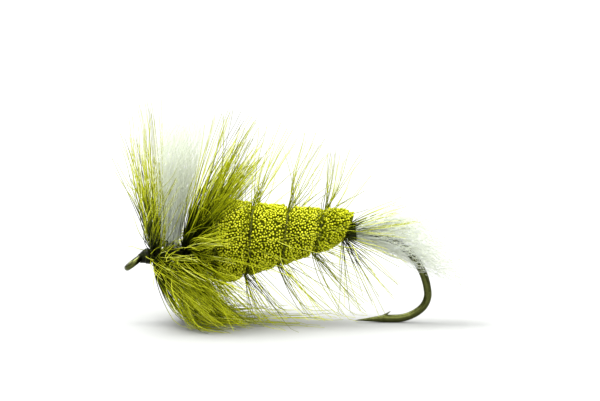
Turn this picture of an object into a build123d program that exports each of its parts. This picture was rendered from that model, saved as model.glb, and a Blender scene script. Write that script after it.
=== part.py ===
from build123d import *
from math import atan2, cos, degrees, radians, sin, sqrt, tan
import os

# Dry fly on a long-shanked hook, in mm and degrees. It sits on a table on the
# hook's bend and on the tips of its collar, with the eye towards -X, the tail
# towards +X and +Z up. The hook lies in the XZ plane. The origin is the middle
# of the fly's length, on the table.

# Hook
wire_d = 0.95
shank_len = 25.7            # corner behind the eye to the start of the bend
shank_climb = 6.4           # the shank rises towards the bend
upper_bend_r = 8.0
upper_bend_heading = 84.0   # how steeply the wire points down where each arc ends
heel_r = 2.45
heel_heading = 140.0
lower_bend_r = 4.8
limb_len = 1.25             # straight wire between the bend and the point
point_len = 3.5
point_tip_d = 0.06
point_drop = 0.22           # the tip lies this far under the middle of the wire
barb_front = 1.1            # the barb's cut starts this far along the point
barb_back = 0.75            # and its tip stands this far behind the taper's start
barb_rise = 0.9             # over the middle of the wire
barb_width = 0.3

# Eye
eye_hole_d = 1.3
eye_wire_d = 0.72
eye_land_depth = 0.03       # the hole's wall is flat where this much is taken off
eye_turn_down = 31.0
neck_bend_r = 0.6
neck_len = 0.1

# Thread, and the clearance between things that are tied tight on each other
thread_d = 0.12
fit_gap = 0.01
seat_gap = 0.03

# Head, measured along the shank from the corner behind the eye
head_start = 0.25
head_len = 0.66
head_front_wall = 0.035     # the head's thread stands this high over the thread bed
head_back_wall = 0.195
whip_turns = 4
cement_wall = 0.05

# Collar: one hackle in front of the wing and one behind it
stem_d = 0.3
front_hackle_start = 1.15
front_hackle_turns = 2.5
front_hackle_pitch = 0.4
rear_hackle_start = 4.75
rear_hackle_turns = 4.5
rear_hackle_pitch = 0.42
collar_top_len = 18.6       # barbs that stand up behind the wing
collar_side_len = 15.4      # and those that point sideways or down
front_top_len = 13.5
front_side_len = 12.5
collar_barb_root_d = 0.13
barb_tip_d = 0.05
barb_root_depth = 0.02      # a barb grows out of its stem from this deep
front_barb_step = 30.0      # turn between one barb and the next
rear_barb_step = 26.0

# Wing
wing_place = 3.3            # middle of its foot, along the shank
wing_foot_d = 2.2
wing_height = 15.6
wing_lean = 6.6             # back from upright
wing_wide_height = 10.3
wing_wide_x = 4.4
wing_wide_y = 3.8
wing_top_x = 4.0
wing_top_y = 3.0
wing_foot_len = 1.2
wing_post_turns = 5
wing_thread_turns = 9

# Body of spun and clipped hair, in bundles pushed against each other
body_front = 7.15
body_lift = 0.8             # the clipped body stands this far over the shank's axis
body_max_d = 10.1
body_rear_d = 4.6
body_front_d = 6.0
body_end_d = 3.4
shoulder_len = 3.4
end_round_len = 0.4
bundle_count = 7
bundle_thread_turns = 3

# Palmered hackle on the body
palmer_inset = 0.4          # from the fattest part of the body to the stem's front end
palmer_pitch = 4.2
palmer_stem_d = 0.3
palmer_barb_len = 7.2
palmer_barb_root_d = 0.1
palmer_barb_step = 25.0
palmer_group_count = 3      # its barbs are kept in this many groups, front to back
palmer_floor_gap = 0.3      # these barbs end this far over the table
tail_turn_pitch = 0.45
tail_turn_count = 1
tail_turn_step = 20.0

# Tail
tail_thread_turns = 7
tail_butt_wall = 0.12
tail_len = 15.1             # behind the start of the bend
tail_root_d = 1.8
tail_mid_place = 5.5
tail_mid_drop = 0.8
tail_mid_height = 5.7
tail_mid_width = 4.2
tail_fan_place = 10.3
tail_fan_drop = 2.6
tail_fan_height = 6.8
tail_fan_width = 6.6
tail_end_drop = 5.2
tail_end_height = 3.8
tail_end_width = 5.6

wire_r = wire_d / 2
parts = {}


def heading(angle):
    """Unit vector in the hook's plane, angle degrees below +X."""
    return Vector(cos(radians(angle)), 0, -sin(radians(angle)))


def arc_step(radius, start, end):
    """Where an arc of the wire goes, from one heading to a steeper one."""
    across = sin(radians(end)) - sin(radians(start))
    down = cos(radians(start)) - cos(radians(end))
    return Vector(radius * across, 0, -radius * down)


def wire_arc(place, radius, start, end):
    """An arc of the wire that begins at place."""
    middle = place + arc_step(radius, start, (start + end) / 2)
    return ThreePointArc(place, middle, place + arc_step(radius, start, end))


def tube(path, diameter, place, direction):
    """Round wire along a path that starts at place."""
    section = Plane(origin=place, z_dir=direction) * Circle(diameter / 2)
    return sweep(section, path=path)


# The bend, worked out from the start of the bend to the point
upper_step = arc_step(upper_bend_r, -shank_climb, upper_bend_heading)
heel_step = arc_step(heel_r, upper_bend_heading, heel_heading)
lower_step = arc_step(lower_bend_r, heel_heading, 180)
bend_height = wire_r - (upper_step + heel_step + lower_step).Z

# The eye, worked out from the corner behind it
along = heading(-shank_climb)
eye_heading = 180 - shank_climb - eye_turn_down
eye_way = heading(eye_heading)
neck_cut = neck_bend_r * tan(radians(eye_turn_down / 2))
eye_r = eye_hole_d / 2 + eye_wire_d / 2 - eye_land_depth
eye_reach = neck_cut + neck_len + eye_r
eye_tip = -shank_len * along.X + (eye_reach + eye_r) * eye_way.X - eye_wire_d / 2

# The origin is midway between the eye's tip and the tail's tips
bend_start = Vector(-(eye_tip + tail_len) / 2, 0, bend_height)
eye_corner = bend_start - along * shank_len
eye_centre = eye_corner + eye_way * eye_reach

# Local frame of the shank: x to the side, y up from the shank, z back along it
shank = Plane(origin=eye_corner, x_dir=(0, 1, 0), z_dir=along)


def hook():
    """One wire: ring eye, neck, shank, round bend, point and barb."""
    neck_start = eye_corner + along * neck_cut
    neck_end = eye_corner + eye_way * neck_cut
    neck_mid_way = (neck_start + neck_end) * 0.5 - eye_corner
    to_middle = neck_bend_r / cos(radians(eye_turn_down / 2)) - neck_bend_r
    neck_middle = eye_corner + neck_mid_way.normalized() * to_middle
    heel_start = bend_start + upper_step
    lower_start = heel_start + heel_step
    limb_start = lower_start + lower_step
    limb_end = limb_start - Vector(limb_len, 0, 0)
    path = Wire([
        Line(neck_end + eye_way * neck_len, neck_end),
        ThreePointArc(neck_end, neck_middle, neck_start),
        Line(neck_start, bend_start),
        wire_arc(bend_start, upper_bend_r, -shank_climb, upper_bend_heading),
        wire_arc(heel_start, heel_r, upper_bend_heading, heel_heading),
        wire_arc(lower_start, lower_bend_r, heel_heading, 180),
        Line(limb_start, limb_end),
    ])
    wire = tube(path, wire_d, neck_end + eye_way * neck_len, -eye_way)

    forward = Vector(-1, 0, 0)
    point_tip = limb_end + forward * point_len - Vector(0, 0, point_drop)
    point = loft([
        Plane(origin=limb_end, z_dir=forward) * Circle(wire_r),
        Plane(origin=point_tip, z_dir=forward) * Circle(point_tip_d / 2),
    ], ruled=True)

    notch = limb_end + Vector(barb_back * 0.3, 0, wire_r * 0.7)
    tip = limb_end + Vector(barb_back, 0, barb_rise)
    front = limb_end - Vector(barb_front, 0, 0)
    flap = make_face(Polyline(front, tip, notch, close=True))
    barb = extrude(flap, amount=barb_width / 2, dir=(0, 1, 0), both=True)

    ring_plane = Plane(origin=eye_centre, x_dir=(0, 1, 0), z_dir=heading(eye_heading + 90))
    ring = ring_plane.location * Torus(eye_r, eye_wire_d / 2)
    hole = ring_plane.location * Cylinder(eye_hole_d / 2, wire_d * 2)
    return wire + point + barb + ring - hole


def sleeve(start, length, inner_d, outer_d):
    """A plain tube on the shank."""
    wall = Circle(outer_d / 2) - Circle(inner_d / 2)
    return shank.location * Pos(0, 0, start) * extrude(wall, length)


def winding(turns, inner_d, outer_front_d, outer_back_d):
    """Close turns of thread as one solid: a sleeve whose outside is a row of beads."""
    crests = [outer_front_d / 2 + (outer_back_d - outer_front_d) / 2 * (i + 0.5) / turns
              for i in range(turns)]
    valleys = [crests[0]] + [(a + b) / 2 for a, b in zip(crests, crests[1:])] + [crests[-1]]
    valleys = [r - thread_d * 0.35 for r in valleys]
    edges = []
    for i in range(turns):
        edges.append(ThreePointArc(
            (valleys[i], 0, i * thread_d),
            (crests[i], 0, (i + 0.5) * thread_d),
            (valleys[i + 1], 0, (i + 1) * thread_d)))
    back = turns * thread_d
    edges.append(Polyline((valleys[-1], 0, back), (inner_d / 2, 0, back),
                          (inner_d / 2, 0, 0), (valleys[0], 0, 0)))
    outline = make_face([edge for line in edges for edge in line.edges()])
    return revolve(outline, axis=Axis.Z)


def winding_on_shank(start, turns, inner_d, outer_front_d, outer_back_d):
    """A winding at its place along the shank."""
    return shank.location * Pos(0, 0, start) * winding(turns, inner_d, outer_front_d, outer_back_d)


def spiral(start, lift, pitch, turns, front_d, taper, diameter):
    """A hackle's stem, wound left-handed about an axis lifted over the shank."""
    path = Helix(pitch, pitch * turns, front_d / 2, cone_angle=-taper, lefthand=True)
    stem = tube(path, diameter, path @ 0, path % 0)
    return shank.location * Pos(0, lift, start) * stem


def spiral_root(start, lift, pitch, front_d, taper, angle):
    """Point on a stem's middle line after a turn of so many degrees, and the way out from it."""
    travel = pitch * angle / 360
    radius = front_d / 2 - travel * tan(radians(taper))
    out = Vector(cos(radians(angle)), -sin(radians(angle)), 0)
    return Vector(0, lift, start + travel) + out * radius, out


def lean_out(out, lean):
    """The way out from the stem, leaned towards the tail."""
    return out * cos(radians(lean)) + Vector(0, 0, sin(radians(lean)))


def barb_solid(root, way, length, root_d, floor):
    """A straight tapered barb. One that would pass the floor stops on it."""
    start = shank.from_local_coords(root)
    direction = shank.from_local_coords(root + way) - start
    tip_r = barb_tip_d / 2
    drop = start.Z - floor - tip_r * sqrt(1 - direction.Z ** 2)
    if length * -direction.Z > drop:
        length = drop / -direction.Z
    return Plane(origin=start, z_dir=direction).location * Cone(
        root_d / 2, tip_r, length, align=(Align.CENTER, Align.CENTER, Align.MIN))


def barb_length(out, top_len, side_len):
    """The collar's barbs are longest where they stand straight up."""
    return side_len + (top_len - side_len) * max(out.Y, 0)


def share(number, ratio):
    """An even spread of 0 to 1 over a run of barbs, so that no two neighbours match."""
    return number * ratio % 1


# Thread bed on the bare shank
bed_inner_d = wire_d + 2 * fit_gap
bed_d = bed_inner_d + 2 * thread_d
on_bed_d = bed_d + 2 * fit_gap
bed_start = head_start
tail_thread_len = tail_thread_turns * thread_d
tail_thread_start = shank_len - seat_gap - tail_thread_len
body_end = tail_thread_start - tail_turn_count * tail_turn_pitch - stem_d - seat_gap

parts["hook"] = hook()
parts["thread_bed"] = sleeve(bed_start, shank_len - bed_start, bed_inner_d, bed_d)

# Head: thread, the whip finish over it, and the cement's skin
head_turns = round(head_len / thread_d)
head_back = head_start + head_turns * thread_d
head_front_d = on_bed_d + 2 * head_front_wall
head_back_d = on_bed_d + 2 * head_back_wall
parts["head_thread"] = winding_on_shank(
    head_start, head_turns, on_bed_d, head_front_d, head_back_d)


def head_surface_d(place):
    """The head thread's outer diameter at a place along the shank."""
    share_back = (place - head_start) / (head_back - head_start)
    return head_front_d + (head_back_d - head_front_d) * share_back


whip_start = head_back - (whip_turns + 0.5) * thread_d
whip_inner_d = head_surface_d(head_back) + 2 * fit_gap
whip_outer_d = whip_inner_d + 2 * thread_d
parts["whip_finish"] = winding_on_shank(
    whip_start, whip_turns, whip_inner_d, whip_outer_d, whip_outer_d)


def cement_skin():
    """Varnish that follows the head and the whip finish, a wall thick."""
    outline = [
        (head_front_d / 2 + fit_gap, head_start),
        (head_surface_d(whip_start) / 2 + fit_gap, whip_start - fit_gap),
        (whip_outer_d / 2 + fit_gap, whip_start - fit_gap),
        (whip_outer_d / 2 + fit_gap, head_back),
    ]
    outside = [
        (whip_outer_d / 2 + fit_gap + cement_wall, head_back),
        (whip_outer_d / 2 + fit_gap + cement_wall, whip_start - fit_gap - cement_wall),
        (head_front_d / 2 + fit_gap + cement_wall, head_start),
    ]
    points = [(r, 0, z) for r, z in outline + outside]
    return revolve(make_face(Polyline(*points, close=True)), axis=Axis.Z)


parts["head_cement"] = shank.location * cement_skin()

# Collar hackles: the stems lie on the thread bed, in front of the wing and behind it
stem_path_d = on_bed_d + stem_d
coil_d = on_bed_d + 2 * stem_d
wing_axis_lean = wing_lean + shank_climb
wing_widest_back = (wing_place + wing_wide_height * tan(radians(wing_axis_lean))
                    + wing_wide_x / 2 / cos(radians(wing_axis_lean)))
parts["front_hackle_stem"] = spiral(
    front_hackle_start, 0, front_hackle_pitch, front_hackle_turns, stem_path_d, 0, stem_d)
parts["rear_hackle_stem"] = spiral(
    rear_hackle_start, 0, rear_hackle_pitch, rear_hackle_turns, stem_path_d, 0, stem_d)


def near_top(out, spread):
    """True for a barb that stands within so many degrees of straight up."""
    return out.Y > cos(radians(spread))


def front_barbs():
    """Barbs before the wing. Those near the top lean forward, away from the wing."""
    barbs = []
    for i in range(int(front_hackle_turns * 360 / front_barb_step)):
        root, out = spiral_root(
            front_hackle_start, 0, front_hackle_pitch, stem_path_d, 0, i * front_barb_step)
        lean = -14 + 12 * share(i, 0.618)
        if not near_top(out, 50):
            lean = -12 + 34 * share(i, 0.618)
        length = barb_length(out, front_top_len, front_side_len) * (0.8 + 0.2 * share(i, 0.382))
        root = root + out * (stem_d / 2 - barb_root_depth)
        barbs.append(barb_solid(root, lean_out(out, lean), length, collar_barb_root_d, 0))
    return barbs


def rear_barbs():
    """Barbs between the wing and the body, which fan back as far as the body lets them."""
    barbs = []
    for i in range(int(rear_hackle_turns * 360 / rear_barb_step)):
        root, out = spiral_root(
            rear_hackle_start, 0, rear_hackle_pitch, stem_path_d, 0, i * rear_barb_step)
        room = body_front - root.Z - stem_d
        most = degrees(atan2(room, body_front_d / 2 + body_lift - coil_d / 2))
        least = -6
        if near_top(out, 24):
            least = degrees(atan2(wing_widest_back - root.Z + stem_d, wing_wide_height))
        most = max(most, least + 2)
        lean = least + (most - least) * share(i, 0.618)
        length = barb_length(out, collar_top_len, collar_side_len) * (0.82 + 0.18 * share(i, 0.382))
        root = root + out * (stem_d / 2 - barb_root_depth)
        barbs.append(barb_solid(root, lean_out(out, lean), length, collar_barb_root_d, 0))
    return barbs


parts["front_hackle_barbs"] = Compound(children=front_barbs())
all_rear = rear_barbs()
third = len(all_rear) // 3
for i in range(3):
    last = len(all_rear) if i == 2 else (i + 1) * third
    parts[f"rear_hackle_barbs_{i + 1}"] = Compound(children=all_rear[i * third:last])

# Wing: a bunch of hair on a tied base, with turns of thread round its foot
wing_thread_len = wing_thread_turns * thread_d
parts["wing_thread"] = winding_on_shank(
    wing_place - wing_thread_len / 2, wing_thread_turns, on_bed_d, coil_d, coil_d)
wing_base = shank.from_local_coords(Vector(0, coil_d / 2 + 2 * seat_gap, wing_place))
wing_up = Vector(sin(radians(wing_lean)), 0, cos(radians(wing_lean)))
wing = Plane(origin=wing_base, x_dir=(0, 1, 0), z_dir=wing_up)


def wing_hair():
    """The bunch: a round foot that opens into a flat-sided brush."""
    foot = Circle(wing_foot_d / 2)
    wide = Pos(0, 0, wing_wide_height) * Ellipse(wing_wide_y / 2, wing_wide_x / 2)
    top = Pos(0, 0, wing_height) * Ellipse(wing_top_y / 2, wing_top_x / 2)
    brush = loft([Pos(0, 0, wing_foot_len) * foot, wide, top])
    return wing.location * (extrude(foot, wing_foot_len) + brush)


parts["wing_hair"] = wing_hair()
parts["wing_post_thread"] = wing.location * Pos(0, 0, thread_d) * winding(
    wing_post_turns, wing_foot_d + 2 * fit_gap,
    wing_foot_d + 2 * fit_gap + 2 * thread_d, wing_foot_d + 2 * fit_gap + 2 * thread_d)

# Body: one clipped shape, sliced into bundles that each sit on their own turns of thread
straight_start = body_front + shoulder_len
straight_end = body_end - end_round_len
body_taper = degrees(atan2((body_max_d - body_rear_d) / 2, straight_end - straight_start))
bundle_pitch = (body_end - body_front) / bundle_count
binding_len = bundle_thread_turns * thread_d


def clipped_body():
    """The whole clipped body as one solid: a rounded shoulder, then a straight taper."""
    shoulder_middle_d = body_front_d + (body_max_d - body_front_d) * 0.68
    shoulder = ThreePointArc(
        (body_front_d / 2, 0, body_front),
        (shoulder_middle_d / 2, 0, body_front + shoulder_len * 0.36),
        (body_max_d / 2, 0, straight_start))
    sides = Polyline(
        (body_max_d / 2, 0, straight_start),
        (body_rear_d / 2, 0, straight_end),
        (body_end_d / 2, 0, body_end),
        (0, 0, body_end),
        (0, 0, body_front),
        (body_front_d / 2, 0, body_front))
    outline = make_face(shoulder.edges() + sides.edges())
    return shank.location * Pos(0, body_lift, 0) * revolve(outline, axis=Axis.Z)


def slab(start):
    """A disc wider than the body, as long as one bundle, that cuts it out of the body."""
    disc = Cylinder(body_max_d, bundle_pitch - fit_gap, align=(Align.CENTER, Align.CENTER, Align.MIN))
    return shank.location * Pos(0, body_lift, start + fit_gap) * disc


def bundle_bore(start):
    """Room for the thread bed, and in the bundle's front face for its own turns of thread."""
    bore = Cylinder(on_bed_d / 2, 3 * bundle_pitch)
    pocket = Cylinder(on_bed_d / 2 + thread_d + fit_gap, 2 * (binding_len + 2 * fit_gap))
    return shank.location * Pos(0, 0, start) * (bore + pocket)


# The palmered stem lies half sunk in a spiral groove between the body's ends
palmer_start = straight_start + palmer_inset
palmer_turns = (straight_end - palmer_stem_d - palmer_start) / palmer_pitch
palmer_path_d = body_max_d - 2 * palmer_inset * tan(radians(body_taper))


def palmer_spiral(diameter):
    """The palmered stem, or the groove for it, by its diameter."""
    return spiral(palmer_start, body_lift, palmer_pitch, palmer_turns,
                  palmer_path_d, body_taper, diameter)


grooved_body = clipped_body() - palmer_spiral(palmer_stem_d + 2 * seat_gap)
for i in range(bundle_count):
    start = body_front + i * bundle_pitch
    parts[f"hair_bundle_{i + 1}"] = (grooved_body & slab(start)) - bundle_bore(start)
    parts[f"bundle_thread_{i + 1}"] = winding_on_shank(
        start + 2 * fit_gap, bundle_thread_turns, on_bed_d,
        on_bed_d + 2 * thread_d, on_bed_d + 2 * thread_d)
parts["palmer_stem"] = palmer_spiral(palmer_stem_d)


def palmer_barbs(first, last):
    """Barbs of the palmered stem from one angle of its spiral to another."""
    barbs = []
    for i in range(int(first / palmer_barb_step), int(last / palmer_barb_step)):
        root, out = spiral_root(palmer_start, body_lift, palmer_pitch,
                                palmer_path_d, body_taper, i * palmer_barb_step)
        root = root + out * (palmer_stem_d / 2 - barb_root_depth)
        way = lean_out(out, -6 + 32 * share(i, 0.618))
        length = palmer_barb_len * (0.75 + 0.25 * share(i, 0.382))
        barbs.append(barb_solid(root, way, length, palmer_barb_root_d, palmer_floor_gap))
    return barbs


palmer_group_angle = 360 * palmer_turns / palmer_group_count
for i in range(palmer_group_count):
    parts[f"palmer_barbs_{i + 1}"] = Compound(children=palmer_barbs(
        palmer_group_angle * i, palmer_group_angle * (i + 1)))

# The palmer hackle's tail turn, tied in between the body and the tail
tail_turn_start = body_end + seat_gap + palmer_stem_d / 2
parts["tail_turn_stem"] = spiral(
    tail_turn_start, 0, tail_turn_pitch, tail_turn_count,
    on_bed_d + palmer_stem_d, 0, palmer_stem_d)


def tail_turn_barbs():
    """Barbs of the tail turn, which stand nearly square to the shank."""
    barbs = []
    for i in range(int(tail_turn_count * 360 / tail_turn_step)):
        root, out = spiral_root(tail_turn_start, 0, tail_turn_pitch,
                                on_bed_d + palmer_stem_d, 0, i * tail_turn_step)
        root = root + out * (palmer_stem_d / 2 - barb_root_depth)
        way = lean_out(out, 2 + 16 * share(i, 0.618))
        length = palmer_barb_len * (0.75 + 0.25 * share(i, 0.382))
        barbs.append(barb_solid(root, way, length, palmer_barb_root_d, palmer_floor_gap))
    return barbs


parts["tail_turn_barbs"] = Compound(children=tail_turn_barbs())

# Tail: its butt lies on the thread bed under the tail thread, and its hair fans out
# behind, round the start of the bend
butt_d = on_bed_d + 2 * tail_butt_wall
parts["tail_thread"] = winding_on_shank(
    tail_thread_start, tail_thread_turns, butt_d + 2 * fit_gap,
    butt_d + 2 * fit_gap + 2 * thread_d, butt_d + 2 * fit_gap + 2 * thread_d)


def tail_section(place, drop, width, height):
    """An upright oval of the tail behind the start of the bend."""
    middle = bend_start + Vector(place, 0, -drop)
    return Plane(origin=middle, x_dir=(0, 1, 0), z_dir=(1, 0, 0)) * Ellipse(width / 2, height / 2)


def tail_hair():
    """The bunch: a thin butt round the shank and a fan that droops along the bend."""
    fan = loft([
        shank.location * Pos(0, 0, shank_len) * Circle(tail_root_d / 2),
        tail_section(tail_mid_place, tail_mid_drop, tail_mid_width, tail_mid_height),
        tail_section(tail_fan_place, tail_fan_drop, tail_fan_width, tail_fan_height),
        tail_section(tail_len, tail_end_drop, tail_end_width, tail_end_height),
    ])
    path = Wire([
        Line(bend_start - along, bend_start),
        wire_arc(bend_start, upper_bend_r, -shank_climb, upper_bend_heading),
    ])
    way_through = tube(path, bed_inner_d, bend_start - along, along)
    butt = sleeve(tail_thread_start, tail_thread_len + seat_gap + tail_butt_wall, on_bed_d, butt_d)
    return (fan - way_through) + butt


parts["tail_hair"] = tail_hair()

os.makedirs("parts", exist_ok=True)
for name, shape in parts.items():
    export_step(shape, f"parts/{name}.step")
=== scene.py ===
import bpy
import math
import numpy as np
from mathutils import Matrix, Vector


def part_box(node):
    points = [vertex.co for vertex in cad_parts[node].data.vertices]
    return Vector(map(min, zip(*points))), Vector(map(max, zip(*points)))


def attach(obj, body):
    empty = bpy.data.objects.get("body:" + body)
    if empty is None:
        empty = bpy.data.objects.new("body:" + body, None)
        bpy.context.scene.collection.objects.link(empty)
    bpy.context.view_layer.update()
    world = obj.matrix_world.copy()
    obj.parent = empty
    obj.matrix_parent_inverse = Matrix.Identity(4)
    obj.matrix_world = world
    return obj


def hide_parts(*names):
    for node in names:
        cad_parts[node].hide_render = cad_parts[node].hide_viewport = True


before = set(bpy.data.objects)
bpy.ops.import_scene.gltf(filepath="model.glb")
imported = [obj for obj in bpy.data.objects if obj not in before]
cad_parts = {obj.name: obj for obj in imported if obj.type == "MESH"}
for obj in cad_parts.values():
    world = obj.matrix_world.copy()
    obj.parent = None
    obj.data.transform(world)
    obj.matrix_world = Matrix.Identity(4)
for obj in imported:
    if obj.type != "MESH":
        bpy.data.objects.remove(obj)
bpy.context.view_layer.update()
mm = 0.001


# Hook: one bronzed steel wire, bent to a ring eye at one end and to a round bend with
# a barbed point at the other. Everything else on the fly is tied to its shank.

def put(tree, socket, value):
    """Links a socket to a node's output, or sets it to a plain value."""
    if isinstance(value, Field):
        tree.links.new(value.socket, socket)
    elif socket.type == "RGBA":
        socket.default_value = (*value, 1)
    else:
        socket.default_value = value


def add(tree, kind, inputs=(), **settings):
    """Adds a node to a tree, with its inputs given by name, and returns it."""
    made = tree.nodes.new(kind)
    for key, value in settings.items():
        setattr(made, key, value)
    for name, value in dict(inputs).items():
        socket = next(s for s in made.inputs if s.enabled and s.name == name)
        for one in value if isinstance(value, list) else [value]:
            put(tree, socket, one)
    return made


def got(made, name=None):
    """The output of a node, the first one in use unless it is named."""
    return Field(next(s for s in made.outputs if s.enabled and name in (None, s.name)))


def is_vector(value):
    if isinstance(value, Field):
        return value.socket.type in ("VECTOR", "RGBA")
    return isinstance(value, Vector)


def sums(operation, *values):
    """A maths node on outputs and plain numbers, for single values or for vectors."""
    tree = next(v.socket.id_data for v in values if isinstance(v, Field))
    many = any(is_vector(v) for v in values)
    made = tree.nodes.new("ShaderNodeVectorMath" if many else "ShaderNodeMath")
    made.operation = operation
    for socket, value in zip(made.inputs, values):
        if many and isinstance(value, (int, float)):
            value = Vector((value, value, value))
        put(tree, socket, value)
    return Field(made.outputs[1 if operation in ("LENGTH", "DOT_PRODUCT") else 0])


class Field:
    """A node's output that can be added, multiplied and so on."""

    def __init__(self, socket):
        self.socket = socket

    def __add__(self, other):
        return sums("ADD", self, other)

    def __radd__(self, other):
        return sums("ADD", other, self)

    def __sub__(self, other):
        return sums("SUBTRACT", self, other)

    def __rsub__(self, other):
        return sums("SUBTRACT", other, self)

    def __mul__(self, other):
        return sums("MULTIPLY", self, other)

    def __rmul__(self, other):
        return sums("MULTIPLY", other, self)

    def __truediv__(self, other):
        return sums("DIVIDE", self, other)

    def __pow__(self, other):
        return sums("POWER", self, other)


def ramp(value, low, high, start=0.0, end=1.0):
    """A smooth step from start to end as value goes from low to high."""
    return got(add(value.socket.id_data, "ShaderNodeMapRange", {
        "Value": value, "From Min": low, "From Max": high, "To Min": start, "To Max": end,
    }, interpolation_type="SMOOTHSTEP"), "Result")


def finish_material(name, roughness, gloss=0.5, metallic=0.0):
    """A material with one Principled shader, and that shader."""
    material = bpy.data.materials.new(name)
    material.use_nodes = True
    shader = material.node_tree.nodes["Principled BSDF"]
    shader.inputs["Roughness"].default_value = roughness
    shader.inputs["Metallic"].default_value = metallic
    shader.inputs["Specular IOR Level"].default_value = gloss
    shader.inputs["Subsurface Radius"].default_value = (1, 1, 0.6)
    return material, shader


def noise(tree, where, scale, detail=2.0, rough=0.5):
    """Smooth noise, about 0.5 on average."""
    return got(add(tree, "ShaderNodeTexNoise", {
        "Vector": where, "Scale": scale, "Detail": detail, "Roughness": rough}), "Fac")


def tint(tree, value, *stops):
    """A colour ramp over (place, colour) stops."""
    made = add(tree, "ShaderNodeValToRGB", {"Fac": value})
    band = made.color_ramp
    while len(band.elements) < len(stops):
        band.elements.new(0.5)
    for element, (place, colour) in zip(band.elements, stops):
        element.position = place
        element.color = (*colour, 1)
    return Field(made.outputs["Color"])


def bump(tree, shader, height, depth):
    """Raises the surface by up to depth where height is 1."""
    made = add(tree, "ShaderNodeBump", {"Height": height, "Distance": depth, "Strength": 1.0})
    put(tree, shader.inputs["Normal"], got(made))


def object_place(tree):
    """The place on a piece, which its pattern follows."""
    return Field(tree.nodes.new("ShaderNodeTexCoord").outputs["Object"])


bronze, shader = finish_material("bronzed steel", 0.24, 0.5, 1.0)
steel = bronze.node_tree
place = object_place(steel)
mottle = noise(steel, place, 2600, 4, 0.6)
put(steel, shader.inputs["Base Color"], tint(
    steel, mottle, (0.3, (0.050, 0.058, 0.012)), (0.55, (0.070, 0.078, 0.018)),
    (0.8, (0.12, 0.13, 0.035))))
put(steel, shader.inputs["Roughness"], ramp(
    noise(steel, place, 900, 3), 0.3, 0.7, 0.16, 0.28))
shader.inputs["Coat Weight"].default_value = 0.1
shader.inputs["Coat Roughness"].default_value = 0.12
bump(steel, shader, noise(steel, place, 9000, 2), 0.004 * mm)


def repaint(node, material):
    """Gives a CAD node its real material."""
    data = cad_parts[node].data
    data.materials.clear()
    data.materials.append(material)


repaint("hook", bronze)


# Thread bed: one layer of dark tying thread over the bare shank, on which every piece
# is tied. Here is also the shank's frame: side, up and along, from the eye's corner.

def middle_of(node):
    low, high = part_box(node)
    return (low + high) / 2


wing_place = 3.3 * mm
along = (middle_of("tail_thread") - middle_of("wing_thread")).normalized()
side = Vector((0, 1, 0))
up = along.cross(side)
corner = middle_of("wing_thread") - along * wing_place
thread_dark = (0.003, 0.004, 0.001)
thread_light = (0.024, 0.030, 0.005)

thread, shader = finish_material("waxed thread", 0.5, 0.12)
fibre = thread.node_tree
place = object_place(fibre)
laps = got(add(fibre, "ShaderNodeTexWave", {
    "Vector": got(add(fibre, "ShaderNodeMapping", {
        "Vector": place, "Rotation": (0, math.asin(along.z), 0)})),
    "Scale": 1300.0, "Distortion": 1.2, "Detail": 2.0, "Detail Scale": 1.5,
}, wave_type="BANDS", bands_direction="X"), "Fac")
put(fibre, shader.inputs["Base Color"], tint(
    fibre, laps * 0.6 + noise(fibre, place, 9000, 2) * 0.4,
    (0.3, thread_dark), (0.8, thread_light)))
bump(fibre, shader, laps, 0.02 * mm)
repaint("thread_bed", thread)


# Threads, wound in close turns: the tail's tie, the turns that flare each bundle of
# deer hair, and the wing's tie. All but the first are hidden under hair.

bundles = 7
for node in ("wing_thread", *(f"bundle_thread_{i + 1}" for i in range(bundles))):
    repaint(node, thread)


def start_tree(name, inputs):
    """A new Geometry Nodes tree with named inputs, and those inputs as fields."""
    kinds = {int: "Int", float: "Float", Vector: "Vector"}
    tree = bpy.data.node_groups.new(name, "GeometryNodeTree")
    for label, value in inputs.items():
        made = tree.interface.new_socket(
            label, in_out="INPUT", socket_type="NodeSocket" + kinds[type(value)])
        made.default_value = value
    tree.interface.new_socket("Material", in_out="INPUT", socket_type="NodeSocketMaterial")
    tree.interface.new_socket("Geometry", in_out="OUTPUT", socket_type="NodeSocketGeometry")
    given = tree.nodes.new("NodeGroupInput")
    return tree, {s.name: Field(s) for s in given.outputs if s.name}


def end_tree(tree, given, geometry):
    """Realizes what a tree made, smooths it and gives it its material."""
    whole = add(tree, "GeometryNodeRealizeInstances", {"Geometry": geometry})
    smooth = add(tree, "GeometryNodeSetShadeSmooth", {"Geometry": got(whole)})
    painted = add(tree, "GeometryNodeSetMaterial", {
        "Geometry": got(smooth), "Material": given["Material"]})
    put(tree, tree.nodes.new("NodeGroupOutput").inputs[0], got(painted))


def mix(a, b, share):
    return a + (b - a) * share


def vector(x, y, z):
    tree = next(v.socket.id_data for v in (x, y, z) if isinstance(v, Field))
    return got(add(tree, "ShaderNodeCombineXYZ", {"X": x, "Y": y, "Z": z}))


def moved(tree, geometry, where):
    """Puts points at their new places."""
    return got(add(tree, "GeometryNodeSetPosition", {
        "Geometry": geometry, "Position": where}))


def strands(tree, count, points):
    """Numbers for making many strands: the strand, and the place along it from 0 to 1."""
    index = got(tree.nodes.new("GeometryNodeInputIndex"))
    strand = sums("FLOOR", (index + 0.5) / points)
    step = index - strand * points
    cloud = add(tree, "GeometryNodePoints", {"Count": count * points, "Radius": mm})
    return got(cloud), strand, step, step / (points - 1)


def tubes(tree, cloud, where, strand, step, thickness, sides):
    """Turns the strands' points into round tubes with closed ends."""
    lines = add(tree, "GeometryNodePointsToCurves", {
        "Points": moved(tree, cloud, where), "Curve Group ID": strand, "Weight": step})
    ring = add(tree, "GeometryNodeCurvePrimitiveCircle", {"Resolution": sides, "Radius": 0.5})
    return got(add(tree, "GeometryNodeCurveToMesh", {
        "Curve": got(lines), "Profile Curve": got(ring), "Scale": thickness,
        "Fill Caps": True}))


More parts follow.
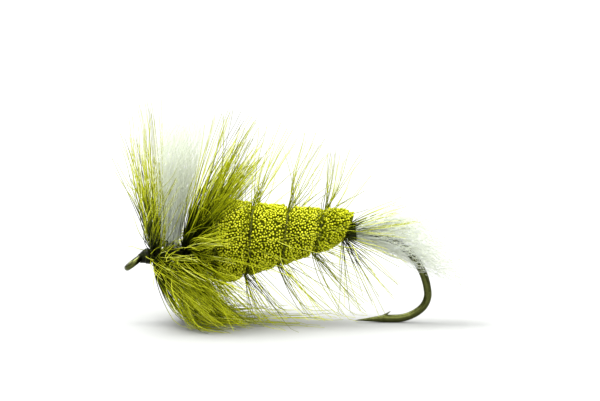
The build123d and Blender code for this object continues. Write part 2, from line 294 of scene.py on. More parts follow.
strip_map = "OFBake"


def unroll(mesh, rings, sides, rows):
    """Gives each strand its own upright strip of the UV map, with its root below."""
    vertex = np.zeros(len(mesh.loops), int)
    mesh.loops.foreach_get("vertex_index", vertex)
    starts = np.zeros(len(mesh.polygons), int)
    sizes = np.zeros(len(mesh.polygons), int)
    mesh.polygons.foreach_get("loop_start", starts)
    mesh.polygons.foreach_get("loop_total", sizes)
    face = np.repeat(np.arange(len(starts)), sizes)
    turn = vertex % sides
    widest = np.zeros(len(starts), int)
    np.maximum.at(widest, face, turn)
    wraps = (turn == 0) & (widest[face] == sides - 1) & (sizes[face] == 4)
    turn = np.where(wraps, sides, turn)
    strand = vertex // (rings * sides)
    columns = -(-(strand.max() + 1) // rows)
    height = vertex // sides % rings / (rings - 1)
    uv = np.empty((len(vertex), 2), np.float32)
    uv[:, 0] = (strand // rows + 0.1 + 0.8 * turn / sides) / columns
    uv[:, 1] = (strand % rows + 0.04 + 0.92 * height) / rows
    mesh.uv_layers.new(name=strip_map).data.foreach_set("uv", uv.ravel())


def grow(name, tree, values, material, rings=0, sides=0, rows=1):
    """Runs a tree once and keeps the result as a plain mesh, with a UV map for strands."""
    obj = bpy.data.objects.new(name, bpy.data.meshes.new(name))
    bpy.context.scene.collection.objects.link(obj)
    modifier = obj.modifiers.new("grow", "NODES")
    modifier.node_group = tree
    sockets = {s.name: s.identifier for s in tree.interface.items_tree if s.in_out == "INPUT"}
    for label, value in values.items():
        modifier[sockets[label]] = value
    modifier[sockets["Material"]] = material
    graph = bpy.context.evaluated_depsgraph_get()
    obj.data = bpy.data.meshes.new_from_object(obj.evaluated_get(graph))
    obj.modifiers.clear()
    if rings:
        unroll(obj.data, rings, sides, rows)
    return obj


def belongs(obj, slot, *nodes):
    """The finished piece rides on the fly and stands for these CAD nodes."""
    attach(obj, "root")
    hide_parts(*nodes)


# The body's profile is needed from here on: its radius at each place along the shank.
body_front = 7.15 * mm
body_back = 24.05 * mm
widest_place = 10.55 * mm
widest_radius = 5.05 * mm
shoulder_len = 3.4 * mm
shoulder_drop = 2.05 * mm
body_taper = 0.21


def body_radius(z):
    """Radius of the clipped body at a place along the shank, or 0 off its ends."""
    shoulder = sums("MAXIMUM", (widest_place - z) / shoulder_len, 0.0)
    taper = sums("MAXIMUM", z - widest_place, 0.0) * body_taper
    rear_edge = ramp(z, 22.4 * mm, 24.1 * mm, 0.0, 0.5 * mm)
    full = widest_radius - shoulder * shoulder * shoulder_drop - taper - rear_edge
    front_face = (z - body_front) * 2.6 + 3.0 * mm
    rear_face = (24.2 * mm - z) * 2.4 + 2.1 * mm
    ends = sums("MINIMUM", front_face, rear_face)
    return sums("MAXIMUM", sums("MINIMUM", full, ends), 0.0)


def on_shank(given, x, y, z):
    """A place given in the shank's frame: across, up and along, from its corner."""
    return given["Corner"] + given["Side"] * x + given["Up"] * y + given["Along"] * z


shank_frame = {"Corner": corner, "Side": side, "Up": up, "Along": along}
thread_d = 0.12 * mm
points_per_turn = 24
winding_sides = 8
winding_tree, given = start_tree("close turns", {
    "Turns": 7.0, "Points": 7 * points_per_turn, "Pitch": thread_d, "Start": 0.0,
    "Front radius": 0.6 * mm, "Back radius": 0.6 * mm, "Follows body": 0.0,
    "Thickness": thread_d, "Unevenness": 0.01 * mm, "Lift": 0.0, **shank_frame})
cloud, strand, step, t = strands(winding_tree, 1, given["Points"])
angle = t * given["Turns"] * math.tau
z = given["Start"] + given["Pitch"] * given["Turns"] * t
slack = noise(winding_tree, vector(angle * 0.35, given["Start"] * 900, 0.0), 1.0, 2)
slack = (slack - 0.5) * 2
radius = (mix(given["Front radius"], given["Back radius"], t) + slack * given["Unevenness"]
          + body_radius(z) * given["Follows body"])
where = on_shank(given, sums("COSINE", angle) * radius,
                 given["Lift"] - sums("SINE", angle) * radius,
                 z + slack * given["Unevenness"])
end_tree(winding_tree, given, tubes(
    winding_tree, cloud, where, strand, step, given["Thickness"], winding_sides))


def wind(name, slot, node, material, turns, values):
    """Winds thread or quill as one long tube, in place of a CAD node."""
    points = round(turns * points_per_turn)
    winding = grow(name, winding_tree, {"Turns": float(turns), "Points": points, **values},
                   material, points, winding_sides)
    belongs(winding, slot, node)


wind("tail_tie", "thread", "tail_thread", thread, 18, {
    "Start": 24.86 * mm, "Pitch": 0.058 * mm, "Front radius": 0.84 * mm,
    "Back radius": 0.9 * mm, "Unevenness": 0.03 * mm})


# Tail: one bunch of white calf hair, crinkled as it grows. Its butts are tied down in
# front of the bend, and its tips fan out and droop round the start of the bend.

def chance(number, seed, low=0.0, high=1.0):
    """A random value that belongs to a number, such as a barb's."""
    return got(add(number.socket.id_data, "FunctionNodeRandomValue", {
        "ID": number, "Seed": seed, "Min": low, "Max": high}, data_type="FLOAT"))


def along_strand(tree, points):
    """The place along a finished strand, from 0 at its root to 1 at its tip."""
    spot = tree.nodes.new("GeometryNodeSplineParameter")
    return Field(spot.outputs["Index"]) / (points - 1)


def axes_of(value):
    made = add(value.socket.id_data, "ShaderNodeSeparateXYZ", {"Vector": value})
    return [Field(s) for s in made.outputs]


def strip_of(tree, rows):
    """A strand's strip of the UV map, and the height up the strand from 0 to 1."""
    strip = Field(add(tree, "ShaderNodeUVMap", uv_map=strip_map).outputs["UV"])
    return strip, sums("FRACT", axes_of(strip)[1] * rows)


hair_sides = 3
hair_rows = 4
tail_points = 22
tail_tree, given = start_tree("tail hair", {
    "Hairs": 430, "Points": tail_points, "Length": 16.0 * mm,
    "Thickness": 0.052 * mm, "Root radius": 0.7 * mm, "Crinkle": 0.6 * mm,
    "Droop": 4.0 * mm, "Start": 25.5 * mm, **shank_frame})
cloud, strand, step, t = strands(tail_tree, given["Hairs"], given["Points"])
spin = chance(strand, 1, 0.0, math.tau)
spread = chance(strand, 2) ** 0.35
across = sums("COSINE", spin) * spread
rise = sums("SINE", spin) * spread
length = given["Length"] * mix(0.45, 1.0, chance(strand, 3) ** 0.6)
wave = chance(strand, 4, 2.2, 4.8) * t * math.tau + chance(strand, 5, 0.0, math.tau)
wave_2 = chance(strand, 6, 2.2, 4.2) * t * math.tau + chance(strand, 7, 0.0, math.tau)
loose = (given["Crinkle"] * ramp(t, 0.05, 0.95, 0.12, 1.3)
         * (chance(strand, 8) ** 3.0 * 1.3 + 0.5))
far = length * t
steep = rise * 0.54 - 0.03
fall = given["Droop"] * (t ** 2.6) * (rise * 0.75 + 0.75) * chance(strand, 9, 0.4, 1.3)
x = across * (given["Root radius"] + far * 0.24) + sums("SINE", wave) * loose
y = rise * given["Root radius"] + far * steep - fall + sums("COSINE", wave) * loose
z = given["Start"] + far * 0.95 + sums("SINE", wave_2) * loose * 0.5
end_tree(tail_tree, given, tubes(
    tail_tree, cloud, on_shank(given, x, y, z), strand, step,
    given["Thickness"] * ramp(along_strand(tail_tree, given["Points"]), 0.3, 1.0, 1.0, 0.5),
    hair_sides))

white_hair, shader = finish_material("white calf hair", 0.42, 0.3)
calf = white_hair.node_tree
strip, height = strip_of(calf, hair_rows)
# A little darker and greener towards the root: painted shade in the dense foot of each bunch.
# The noise is the hair's own uneven tone.
tone = (noise(calf, strip * Vector((90, 3, 0)), 1.0, 3) * 0.6
        + ramp(height, 0.0, 0.55, 0.26, 0.4))
put(calf, shader.inputs["Base Color"], tint(
    calf, tone, (0.3, (0.70, 0.78, 0.44)), (0.55, (0.86, 0.93, 0.70)),
    (0.8, (0.92, 0.97, 0.84))))
shader.inputs["Subsurface Weight"].default_value = 0.6
shader.inputs["Subsurface Scale"].default_value = 0.3 * mm
shader.inputs["Sheen Weight"].default_value = 0.25
bump(calf, shader, noise(calf, strip * Vector((900, 60, 0)), 1.0, 1), 0.004 * mm)

tail = grow("tail_calf_hair", tail_tree, {}, white_hair, tail_points, hair_sides, hair_rows)
belongs(tail, "white_hair", "tail_hair")


# Body: bundles of olive deer hair, spun on the shank so that they flare, pushed
# against each other and clipped. One sees the cut ends, with dark gaps between them.

def position_in(tree):
    """The place of each point that a tree is working on."""
    return got(tree.nodes.new("GeometryNodeInputPosition"))


body_lift = 0.8 * mm
palmer_from = 10.95 * mm
palmer_pitch = 4.2 * mm


def groove(x, y, z):
    """1 under the palmered quill, which presses the hair down, and 0 away from it."""
    turn = sums("ARCTAN2", (y - body_lift) * -1.0, x) / math.tau
    phase = (z - palmer_from) / palmer_pitch - turn
    near = sums("ABSOLUTE", phase - sums("ROUND", phase)) * palmer_pitch
    return ramp(near, 0.05 * mm, 0.75 * mm, 1.0, 0.0)


def overhang(y, z):
    """How far the last hair leans back over the tail's tie."""
    return ramp(z, 20.5 * mm, 24.1 * mm) * (y + 1.5 * mm) * 0.46


def body_skin(tree, shrink, sides):
    """The clipped surface as a closed shell, in the shank's frame."""
    rings = 96
    end_rings = 5
    cloud, strand, step, t = strands(tree, 1, rings)
    sunk = sums("MAXIMUM", end_rings - step, step - (rings - 1.0 - end_rings))
    sunk = sums("MAXIMUM", sunk, 0.0)
    straight = sums("MINIMUM", sums(
        "MAXIMUM", (step - end_rings) / (rings - 1.0 - 2 * end_rings), 0.0), 1.0)
    skin_front = body_front + 0.05 * mm
    z = skin_front + straight * (body_back - skin_front) + (step - rings / 2) * 0.004 * mm
    narrowed = sums("MAXIMUM", 1.0 - sunk / (end_rings + 0.2), 0.02)
    radius = (body_radius(z) - shrink) * narrowed
    line = add(tree, "GeometryNodePointsToCurves", {
        "Points": moved(tree, cloud, vector(z * 0.0, z * 0.0 + body_lift, z)),
        "Curve Group ID": strand, "Weight": step})
    held = add(tree, "GeometryNodeStoreNamedAttribute", {
        "Geometry": got(line), "Name": "radius_here", "Value": radius}, data_type="FLOAT")
    size = add(tree, "GeometryNodeInputNamedAttribute", {"Name": "radius_here"})
    ring = add(tree, "GeometryNodeCurvePrimitiveCircle", {"Resolution": sides, "Radius": 1.0})
    shell = add(tree, "GeometryNodeCurveToMesh", {
        "Curve": got(held), "Profile Curve": got(ring), "Scale": got(size),
        "Fill Caps": True})
    x, y, z = axes_of(position_in(tree))
    return moved(tree, got(shell), vector(x, y, z + overhang(y, z)))


def into_place(tree, given, geometry):
    """Takes points from the shank's frame to their places on the fly."""
    return moved(tree, geometry, on_shank(given, *axes_of(position_in(tree))))


past_the_bend = 30 * mm
stub_points = 4
stub_sides = 6
deer_rows = 6
body_tree, given = start_tree("cut deer hair", {
    "From": 0.0, "To": past_the_bend, "Spacing": 0.265 * mm, "Hair thickness": 0.235 * mm,
    "Hair length": 1.0 * mm, "Unevenness": 0.16 * mm, "Groove depth": 0.5 * mm,
    **shank_frame})
skin = body_skin(body_tree, 0.0, 72)
spots = add(body_tree, "GeometryNodeDistributePointsOnFaces", {
    "Mesh": skin, "Distance Min": given["Spacing"], "Density Max": 4.0e7, "Seed": 4},
    distribute_method="POISSON")
here = position_in(body_tree)
number = got(body_tree.nodes.new("GeometryNodeInputIndex"))
x, y, z = axes_of(here)
held = add(body_tree, "GeometryNodeStoreNamedAttribute", {
    "Geometry": got(spots, "Points"), "Name": "way_out", "Value": got(spots, "Normal")},
    data_type="FLOAT_VECTOR")
way = got(add(body_tree, "GeometryNodeInputNamedAttribute", {"Name": "way_out"},
              data_type="FLOAT_VECTOR"))
pressed = groove(x, y, z)
tilt = vector(chance(number, 1, -1.0, 1.0), chance(number, 2, -1.0, 1.0),
              chance(number, 3, -1.0, 1.0))
clump_tilt = got(add(body_tree, "ShaderNodeTexNoise", {
    "Vector": here, "Scale": 900.0, "Detail": 1.0}), "Color") - Vector((0.5, 0.5, 0.5))
lean = sums("NORMALIZE", way + tilt * 0.2 + clump_tilt * 0.9
            + vector(z * 0.0, z * 0.0, ramp(z, 19.0 * mm, 24.0 * mm, 0.0, 0.9)))
low = (pressed * given["Groove depth"] + chance(number, 4) * given["Unevenness"]
       + (noise(body_tree, here, 420.0, 1) - 0.5) * 0.5 * mm)
kept = add(body_tree, "GeometryNodeSeparateGeometry", {
    "Geometry": got(held),
    "Selection": sums("GREATER_THAN", z, given["From"]) * sums("LESS_THAN", z, given["To"])},
    domain="POINT")
local = add(body_tree, "GeometryNodeSetPosition", {
    "Geometry": got(kept), "Offset": lean * (low * -1.0)})
# One clipped hair: a short tube that ends in a cut, slightly rounded tip.
stub, strand, step, t = strands(body_tree, 1, stub_points)
stub_height = sums("MINIMUM", t * 2.2 - 1.0, 0.0) * given["Hair length"] - (
    1.0 - sums("MINIMUM", t * 1.05, 1.0)) * 0.07 * mm
stub_place = along_strand(body_tree, stub_points)
stub_width = given["Hair thickness"] * (
    ramp(stub_place, 0.0, 0.4, 0.7, 1.0) * ramp(stub_place, 0.66, 1.0, 1.0, 0.62))
stub_mesh = tubes(body_tree, stub, vector(t * 0.0, t * 0.0, stub_height), strand, step,
                  stub_width, stub_sides)
turned = add(body_tree, "FunctionNodeAlignRotationToVector", {"Vector": lean}, axis="Z")
stoutness = chance(number, 6, 0.75, 1.2)
planted = add(body_tree, "GeometryNodeInstanceOnPoints", {
    "Points": got(local), "Instance": stub_mesh, "Rotation": got(turned),
    "Scale": vector(stoutness, stoutness, chance(number, 7, 0.9, 1.1))})
stubs = add(body_tree, "GeometryNodeRealizeInstances", {"Geometry": got(planted)})
end_tree(body_tree, given, into_place(body_tree, given, got(stubs)))

base_tree, given = start_tree("flared hair under the cut", {
    "From": 0.0, "To": past_the_bend, "Depth": 0.42 * mm, **shank_frame})
skin = body_skin(base_tree, given["Depth"], 96)
x, y, z = axes_of(position_in(base_tree))
slab_z = sums("MINIMUM", sums("MAXIMUM", z, given["From"]), given["To"])
radius = sums("SQRT", x * x + (y - body_lift) * (y - body_lift)) + 0.001 * mm
room = sums("MAXIMUM", body_radius(slab_z) - given["Depth"], 0.0)
fits = sums("MINIMUM", room / radius, 1.0)
cut_off = sums("GREATER_THAN", sums("ABSOLUTE", z - slab_z), 0.001 * mm)
dip = mix(1.0 - groove(x, y, z) * 0.1, fits, cut_off)
squeezed = moved(base_tree, skin, vector(x * dip, (y - body_lift) * dip + body_lift, slab_z))
merged = add(base_tree, "GeometryNodeMergeByDistance", {
    "Geometry": squeezed, "Distance": 0.0005 * mm})
end_tree(base_tree, given, into_place(base_tree, given, got(merged)))


def own_value(tree, strip, rows):
    """A random value from 0 to 1 for each few strands, for their own shade."""
    flat_x, flat_y, flat_z = axes_of(strip)
    return got(add(tree, "ShaderNodeTexWhiteNoise", {
        "Vector": vector(sums("FLOOR", flat_x * 100), sums("FLOOR", flat_y * rows), 0.0)},
        noise_dimensions="2D"), "Value")


deer, shader = finish_material("clipped deer hair", 0.6, 0.04)
cut = deer.node_tree
place = object_place(cut)
strip, height = strip_of(cut, deer_rows)
each = own_value(cut, strip, deer_rows)
# Each stub is painted darker towards its sunk base: painted shade deep between the hairs.
# Each hair's own tone and the noise vary at random.
shade = (ramp(height, 0.3, 0.95, 0.08, 0.66) + each * 0.26
         + noise(cut, place, 700, 3) * 0.35 - 0.08)
put(cut, shader.inputs["Base Color"], tint(
    cut, shade, (0.0, (0.014, 0.020, 0.0)), (0.3, (0.13, 0.15, 0.001)),
    (0.62, (0.42, 0.45, 0.003)), (1.0, (0.78, 0.78, 0.05))))
shader.inputs["Subsurface Weight"].default_value = 0.15
shader.inputs["Subsurface Scale"].default_value = 0.2 * mm
bump(cut, shader, noise(cut, place, 22000, 1), 0.01 * mm)

# The flared hair under the cut ends is painted near black: painted shade for the deep gaps
# between the stubs.
under, shader = finish_material("shaded deer hair", 0.8, 0.05)
deep = under.node_tree
place = object_place(deep)
put(deep, shader.inputs["Base Color"], tint(
    deep, noise(deep, place, 5200, 3), (0.35, (0.012, 0.016, 0.0)),
    (0.7, (0.12, 0.14, 0.002))))
bump(deep, shader, noise(deep, place, 7000, 2), 0.05 * mm)

bundle_len = (body_back - body_front) / bundles
for i in range(bundles):
    low = body_front + i * bundle_len if i > 0 else 0.0
    high = body_front + (i + 1) * bundle_len if i < bundles - 1 else past_the_bend
    part = {"From": low, "To": high}
    hair = grow(
        f"deer_hair_{i + 1}", body_tree, part, deer, stub_points, stub_sides, deer_rows)
    belongs(hair, "deer_hair", f"hair_bundle_{i + 1}")
    base = grow(f"deer_hair_base_{i + 1}", base_tree, part, under)
    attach(base, "root")


# Quills: the stripped middle of each hackle feather, wound on the fly. One runs the
# length of the body in an open spiral with a turn behind it, and two hold the collar.

quill, shader = finish_material("dyed quill", 0.45, 0.15)
stalk = quill.node_tree
place = object_place(stalk)
put(stalk, shader.inputs["Base Color"], tint(
    stalk, noise(stalk, place, 1800, 3), (0.3, (0.02, 0.026, 0.003)),
    (0.7, (0.11, 0.12, 0.01))))
bump(stalk, shader, noise(stalk, place, 12000, 2), 0.01 * mm)

before_palmer = 0.95        # turns of the palmer in front of where the body is fattest
tail_turns = {"Start": 24.15 * mm, "Pitch": 0.3 * mm}
rear_turns = {"Start": 4.75 * mm, "Pitch": 0.42 * mm}
front_turns = {"Start": 1.15 * mm, "Pitch": 0.4 * mm}
wind("palmer_quill", "quill", "palmer_stem", quill, 3.9, {
    "Start": palmer_from - before_palmer * palmer_pitch, "Pitch": palmer_pitch,
    "Lift": body_lift, "Front radius": -0.45 * mm, "Back radius": -0.4 * mm,
    "Follows body": 1.0, "Thickness": 0.24 * mm, "Unevenness": 0.04 * mm})
wind("tail_turn_quill", "quill", "tail_turn_stem", quill, 2, {
    **tail_turns, "Front radius": 0.8 * mm, "Back radius": 0.8 * mm,
    "Thickness": 0.24 * mm, "Unevenness": 0.03 * mm})
for name, turns, start in (
        ("rear_hackle", 4.5, rear_turns), ("front_hackle", 2.5, front_turns)):
    wind(name + "_quill", "quill", name + "_stem", quill, turns, {
        **start, "Front radius": 0.76 * mm, "Back radius": 0.76 * mm,
        "Thickness": 0.3 * mm, "Unevenness": 0.02 * mm})


# Hackle barbs: the feathers' own fine, tapered barbs, dyed olive and chartreuse. They
# stand out from the wound quill, cling together in points, and bend where they meet
# the body or the table.

barb_points = 11
barb_tree, given = start_tree("wound hackle", {
    "Barbs": 300, "Points": barb_points, "Start": 0.0, "Pitch": 0.4 * mm, "Turns": 2.0,
    "First turn": 0.0, "Root radius": 0.8 * mm, "Follows body": 0.0, "Lift": 0.0,
    "Top length": 15.0 * mm, "Side length": 12.0 * mm, "Back length": 1.0,
    "Top lean front": 0.0, "Top lean back": 0.0,
    "Low lean front": 0.0, "Low lean back": 0.0, "Lean spread": 0.3, "Side spread": 0.3,
    "Side lean": 0.0, "Unevenness": 0.3, "Curl": 0.08, "Droop": 0.05, "Low sweep": 0.0,
    "Barbs per point": 8, "Gathering": 0.8, "Thickness": 0.12 * mm, "Tip": 0.36,
    "Table": 0.08 * mm, "Slide": 0.8, "Seed": 1})
cloud, strand, step, t = strands(barb_tree, given["Barbs"], given["Points"])


def barb_line(order, number, seed):
    """A barb's middle line in the shank's frame, its way out, and 1 where that is up."""
    seed = given["Seed"] * 40 + seed
    angle = (order * given["Turns"] + given["First turn"]) * math.tau
    away_x = sums("COSINE", angle)
    away_y = sums("SINE", angle) * -1.0
    root_z = given["Start"] + given["Pitch"] * given["Turns"] * order
    radius = given["Root radius"] + body_radius(root_z) * given["Follows body"]
    top = ramp(away_y, -0.6, 0.85)
    lean = mix(mix(given["Low lean front"], given["Low lean back"], order),
               mix(given["Top lean front"], given["Top lean back"], order), top)
    sideways = 1.0 - sums("ABSOLUTE", away_y)
    lean = lean + given["Side lean"] * sideways * (1.0 - order)
    loose = given["Lean spread"] * (1.0 + sideways * 1.7)
    lean = lean + (chance(number, seed) - 0.5) * loose
    drift = (chance(number, seed + 1) - 0.5) * given["Side spread"]
    length = mix(given["Side length"], given["Top length"], sums("MAXIMUM", away_y, 0.0))
    length = length * (1.0 - given["Unevenness"] * chance(number, seed + 2) ** 1.5)
    length = length * mix(1.0, given["Back length"], order)
    flat = sums("COSINE", lean)
    turned_x = away_x * sums("COSINE", drift) - away_y * sums("SINE", drift)
    turned_y = away_y * sums("COSINE", drift) + away_x * sums("SINE", drift)
    way = vector(turned_x * flat, turned_y * flat, sums("SINE", lean))
    curl = (chance(number, seed + 3) - 0.5) * 2.0 * given["Curl"]
    twist = (chance(number, seed + 4) - 0.5) * 2.0 * given["Curl"]
    sweep = curl + given["Low sweep"] * (1.0 - top)
    sag = vector(twist * away_y, twist * away_x * -1.0 - given["Droop"], sweep)
    root = vector(away_x * radius, away_y * radius + given["Lift"], root_z)
    return root + way * (length * t) + sag * (length * t * t), way, top


order = (strand + chance(strand, 90)) / given["Barbs"]
own, way, top = barb_line(order, strand, 0)
point = sums("FLOOR", strand / given["Barbs per point"])
shared, *_ = barb_line(
    (point + 0.5) * given["Barbs per point"] / given["Barbs"], point, 20)
pull = chance(strand, 91) ** 0.4 * mix(0.7, 1.0, top)
gather = given["Gathering"] * ramp(t, 0.05, 0.95) * pull
x, y, z = axes_of(own + (shared - own) * gather)
# Barbs bend round the body that they would run into.
raised = y - body_lift
spoke = sums("SQRT", x * x + raised * raised)
clear = sums("SMOOTH_MAX", spoke, body_radius(z) + 0.05 * mm, 0.6 * mm) / spoke
clear = mix(1.0, clear, ramp(t, 0.02, 0.3))
x = x * clear
y = raised * clear + body_lift
where = x * side + y * up + z * along + corner
# Those that reach the table lie along it, the later ones on the earlier.
wx, wy, wz = axes_of(where)
table = given["Table"] + chance(strand, 92) ** 2.0 * 1.3 * mm
depth = sums("SMOOTH_MAX", table - wz, 0.0, 1.2 * mm)
fx, fy, fz = axes_of(way)
flat_way = sums("NORMALIZE", (fx * side + fy * up + fz * along) * Vector((1, 1, 0))
                + Vector((0.35, 0, 0)))
where = where + flat_way * (depth * given["Slide"]) + depth * Vector((0, 0, 1))
spot = along_strand(barb_tree, given["Points"])
thickness = given["Thickness"] * mix(1.0, given["Tip"], spot ** 1.2)
end_tree(barb_tree, given, tubes(
    barb_tree, cloud, where, strand, step, thickness, hair_sides))


def dyed_hackle_with_painted_shade(name, painted_root_shade):
    """Dyed barbs, olive to chartreuse, darker towards the quill: partly the feather's own
    darker middle, partly painted shade.
    """
    material, shader = finish_material(name, 0.5, 0.05)
    dyed = material.node_tree
    strip, height = strip_of(dyed, hair_rows)
    each = own_value(dyed, strip, hair_rows)
    lock = ramp(noise(dyed, strip * Vector((40, 0.3, 0)), 1.0, 1), 0.35, 0.65)
    # The ramp on height paints shade near the roots, on top of the random tone of each barb
    # and lock.
    shade = each * 0.55 + lock * 0.5 + ramp(height, 0.08, 0.6, -painted_root_shade, 0.02)
    put(dyed, shader.inputs["Base Color"], tint(
        dyed, shade, (0.05, (0.014, 0.020, 0.0)), (0.3, (0.11, 0.135, 0.002)),
        (0.6, (0.42, 0.46, 0.005)), (0.88, (0.74, 0.78, 0.04)),
        (1.0, (0.82, 0.86, 0.26))))
    shader.inputs["Subsurface Weight"].default_value = 0.2
    shader.inputs["Subsurface Scale"].default_value = 0.2 * mm
    bump(dyed, shader, noise(dyed, strip * Vector((700, 40, 0)), 1.0, 1), 0.006 * mm)
    return material


def hackle_barbs(name, nodes, material, values):
    """Barbs of one length of wound feather."""
    barbs = grow(name, barb_tree, values, material, barb_points, hair_sides, hair_rows)
    belongs(barbs, "hackle", *nodes)


# Two copies of one feather, differing in painted shade: the collar's, also used for the tail
# turn, has strong painted shade at the roots for the dense collar; the palmer's has only a
# little.
palmer_hackle = dyed_hackle_with_painted_shade("palmer hackle", 0.3)
collar_hackle = dyed_hackle_with_painted_shade("collar hackle", 0.95)
degree = math.radians(1)
palmer_lengths = {
    "Lift": body_lift, "Follows body": 1.0, "Root radius": -0.4 * mm,
    "Pitch": palmer_pitch, "Top lean front": 26 * degree, "Top lean back": 20 * degree,
    "Low lean front": 26 * degree, "Low lean back": 10 * degree,
    "Lean spread": 34 * degree, "Side spread": 44 * degree, "Unevenness": 0.3,
    "Low sweep": 0.12, "Tip": 0.5, "Thickness": 0.1 * mm, "Barbs per point": 5,
    "Gathering": 0.5, "Curl": 0.12, "Droop": 0.03}
palmer_runs = ((-before_palmer, 1.95, 150, 12.6, 11.2), (1.0, 1.0, 66, 11.2, 10.2),
               (2.0, 0.95, 60, 10.2, 9.4))
for i, (first, turns, count, front_len, back_len) in enumerate(palmer_runs):
    hackle_barbs(f"palmer_hackle_{i + 1}", [f"palmer_barbs_{i + 1}"], palmer_hackle, {
        **palmer_lengths, "Seed": 3 + i, "Barbs": count, "Turns": turns,
        "First turn": first, "Start": palmer_from + first * palmer_pitch,
        "Top length": front_len * mm, "Side length": front_len * mm,
        "Back length": back_len / front_len})

hackle_barbs("tail_turn_hackle", ["tail_turn_barbs"], collar_hackle, {
    **tail_turns, "Seed": 7, "Barbs": 68, "Turns": 2.0,
    "Root radius": 0.85 * mm, "Top length": 9.0 * mm, "Side length": 10.0 * mm,
    "Top lean front": 74 * degree, "Top lean back": 86 * degree,
    "Low lean front": 4 * degree, "Low lean back": 44 * degree,
    "Lean spread": 30 * degree, "Side spread": 40 * degree, "Unevenness": 0.3,
    "Thickness": 0.1 * mm, "Tip": 0.5, "Barbs per point": 4, "Gathering": 0.4,
    "Curl": 0.08})


# Wing: a bunch of white calf hair, tied in upright with thread round its foot. It is
# crinkled too, so it stands as a loose brush with uneven tips.

wing_points = 17
lean_back = 6.6 * degree
wing_up = Vector((math.sin(lean_back), 0, math.cos(lean_back)))
wing_front = Vector((-math.cos(lean_back), 0, math.sin(lean_back)))
wing_foot = corner + along * wing_place + up * 0.82 * mm
wing_tree, given = start_tree("wing hair", {
    "Hairs": 440, "Points": wing_points, "Length": 18.8 * mm,
    "Thickness": 0.052 * mm, "Foot radius": 0.72 * mm, "Crinkle": 0.34 * mm,
    "Spread along the fly": 3.1 * mm, "Spread across": 2.3 * mm,
    "Foot": wing_foot, "Up": wing_up, "Front": wing_front})
cloud, strand, step, t = strands(wing_tree, given["Hairs"], given["Points"])
spin = chance(strand, 1, 0.0, math.tau)
spread = chance(strand, 2) ** 0.5
fan = ramp(t, -0.25, 0.85)
wide_x = sums("COSINE", spin) * spread
wide_y = sums("SINE", spin) * spread
tall = given["Length"] * mix(0.72, 1.0, chance(strand, 3) ** 0.8)
wave = chance(strand, 4, 3.4, 6.0) * t * math.tau + chance(strand, 5, 0.0, math.tau)
loose = given["Crinkle"] * ramp(t, 0.08, 0.8, 0.1, 1.0) * chance(strand, 6, 0.5, 1.5)
x = wide_x * mix(given["Foot radius"], given["Spread along the fly"], fan)
y = wide_y * mix(given["Foot radius"], given["Spread across"], fan)
x = x + sums("SINE", wave) * loose
y = y + sums("COSINE", wave) * loose
where = given["Foot"] + given["Up"] * (tall * t) + given["Front"] * x + y * side
end_tree(wing_tree, given, tubes(
    wing_tree, cloud, where, strand, step,
    given["Thickness"] * ramp(along_strand(wing_tree, given["Points"]), 0.2, 1.0, 1.0, 0.4),
    hair_sides))
wing = grow("wing_calf_hair", wing_tree, {}, white_hair, wing_points, hair_sides, hair_rows)
belongs(wing, "white_hair", "wing_hair")

wind("wing_post_tie", "thread", "wing_post_thread", thread, 6, {
    "Start": 0.1 * mm, "Front radius": 0.86 * mm, "Back radius": 0.9 * mm,
    "Corner": wing_foot, "Side": side, "Up": wing_front * -1, "Along": wing_up})


# Collar: two full hackles, one wound behind the wing and one in front of it. The top
# barbs stand high, the low ones sweep back and hold the fly up on the table.

collar_barbs = {
    "Root radius": 0.85 * mm, "Lean spread": 18 * degree, "Barbs per point": 16,
    "Curl": 0.12, "Droop": 0.04, "Low sweep": 0.42}
hackle_barbs("rear_hackle", [f"rear_hackle_barbs_{i}" for i in (1, 2, 3)], collar_hackle, {
    **rear_turns, **collar_barbs, "Seed": 11, "Barbs": 1000, "Turns": 4.5,
    "Top length": 22.8 * mm, "Side length": 15.4 * mm, "Back length": 0.6,
    "Top lean front": 25 * degree, "Top lean back": 45 * degree,
    "Low lean front": -10 * degree, "Low lean back": 4 * degree, "Side lean": -26 * degree,
    "Side spread": 24 * degree, "Unevenness": 0.45, "Thickness": 0.12 * mm,
    "Gathering": 0.92})
hackle_barbs("front_hackle", ["front_hackle_barbs"], collar_hackle, {
    **front_turns, **collar_barbs, "Seed": 12, "Barbs": 520, "Turns": 3.5,
    "Top length": 19.4 * mm, "Side length": 13.5 * mm,
    "Top lean front": -9 * degree, "Top lean back": 5 * degree,
    "Low lean front": 10 * degree, "Low lean back": 14 * degree, "Side lean": 8 * degree,
    "Side spread": 22 * degree, "Unevenness": 0.55, "Thickness": 0.115 * mm,
    "Gathering": 0.9})


# Head: the tying thread wound up behind the eye, finished with a few turns over its
# own end, and sealed with varnish. The varnish fills the turns and tapers to the eye.

wind("head_winding", "thread", "head_thread", thread, 5.5, {
    "Start": 0.31 * mm, "Front radius": 0.66 * mm, "Back radius": 0.78 * mm,
    "Unevenness": 0.012 * mm})
wind("whip_finish_winding", "thread", "whip_finish", thread, 4, {
    "Start": 0.43 * mm, "Front radius": 0.88 * mm, "Back radius": 0.88 * mm,
    "Unevenness": 0.012 * mm})

varnish, shader = finish_material("varnished thread", 0.3, 0.06)
lacquer = varnish.node_tree
place = object_place(lacquer)
put(lacquer, shader.inputs["Base Color"], tint(
    lacquer, noise(lacquer, place, 2500, 2), (0.4, thread_dark), (0.95, thread_light)))
put(lacquer, shader.inputs["Roughness"], ramp(
    noise(lacquer, place, 1500, 2), 0.3, 0.7, 0.2, 0.4))
bump(lacquer, shader, noise(lacquer, place, 4000, 2), 0.03 * mm)

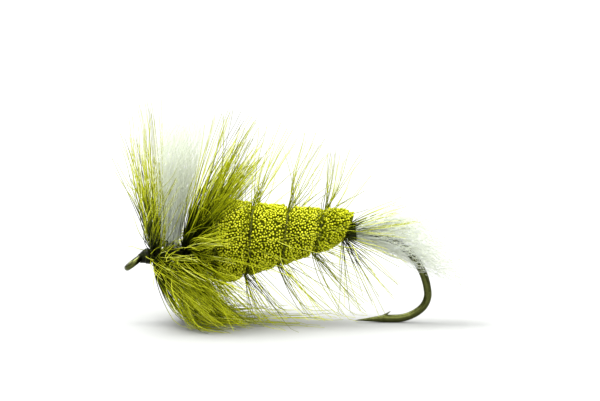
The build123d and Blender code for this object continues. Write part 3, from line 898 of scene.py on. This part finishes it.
varnish_points = 14
varnish_sides = 24
varnish_tree, given = start_tree("varnished head", {
    "Start": -0.4 * mm, "Length": 1.62 * mm, "Front radius": 0.54 * mm,
    "Back radius": 0.98 * mm, "Dip": 0.32 * mm, "Corner": corner, "Up": up, "Along": along})
cloud, strand, step, t = strands(varnish_tree, 1, varnish_points)
dip = (1.0 - t) ** 2.0 * given["Dip"] * -1.0
where = (given["Corner"] + given["Up"] * dip
         + given["Along"] * (given["Start"] + given["Length"] * t))
spot = along_strand(varnish_tree, varnish_points)
width = (mix(given["Front radius"], given["Back radius"], ramp(spot, 0.0, 0.75)) * 2.0
         * ramp(spot, 0.8, 1.0, 1.0, 0.78) * ramp(spot, 0.0, 0.16, 0.9, 1.0))
end_tree(varnish_tree, given, tubes(
    varnish_tree, cloud, where, strand, step, width, varnish_sides))
cement = grow("head_varnish", varnish_tree, {}, varnish, varnish_points, varnish_sides)
belongs(cement, "cement", "head_cement")


# Table, light and camera: a plain white table under soft studio light.

bpy.ops.mesh.primitive_plane_add(size=6)
floor = bpy.context.object
floor.name = "table"
table_top, shader = finish_material("white table", 0.6)
shader.inputs["Base Color"].default_value = (0.345, 0.35, 0.345, 1)
floor.data.materials.append(table_top)

world = bpy.data.worlds.new("studio")
world.use_nodes = True
sky = world.node_tree
height = axes_of(Field(sky.nodes.new("ShaderNodeTexCoord").outputs["Generated"]))[2]
sky.nodes["Background"].inputs["Color"].default_value = (1, 1, 1, 1)
put(sky, sky.nodes["Background"].inputs["Strength"], ramp(height, 0.0, 0.8, 0.3, 1.9))
bpy.context.scene.world = world

for name, spot, power, softness in (
        ("key", (-0.3, 0.15, 1.0), 4.8, 40), ("fill", (0.1, -0.9, 0.7), 1.5, 60)):
    lamp = bpy.data.lights.new(name, "SUN")
    lamp.energy = power
    lamp.angle = softness * degree
    lit = bpy.data.objects.new(name, lamp)
    bpy.context.scene.collection.objects.link(lit)
    lit.rotation_euler = (-Vector(spot)).to_track_quat("-Z", "Y").to_euler()

lens = bpy.data.cameras.new("camera")
lens.lens = 200
lens.sensor_width = 36
lens.clip_start = 0.01
camera = bpy.data.objects.new("camera", lens)
bpy.context.scene.collection.objects.link(camera)
aim = Vector((-0.24 * mm, 0, 14.76 * mm))
tilt = 6 * degree
distance = 0.4
camera.location = aim + Vector((0, -math.cos(tilt), math.sin(tilt))) * distance
camera.rotation_euler = (aim - camera.location).to_track_quat("-Z", "Y").to_euler()
bpy.context.scene.camera = camera
bpy.context.scene.view_settings.view_transform = "Standard"
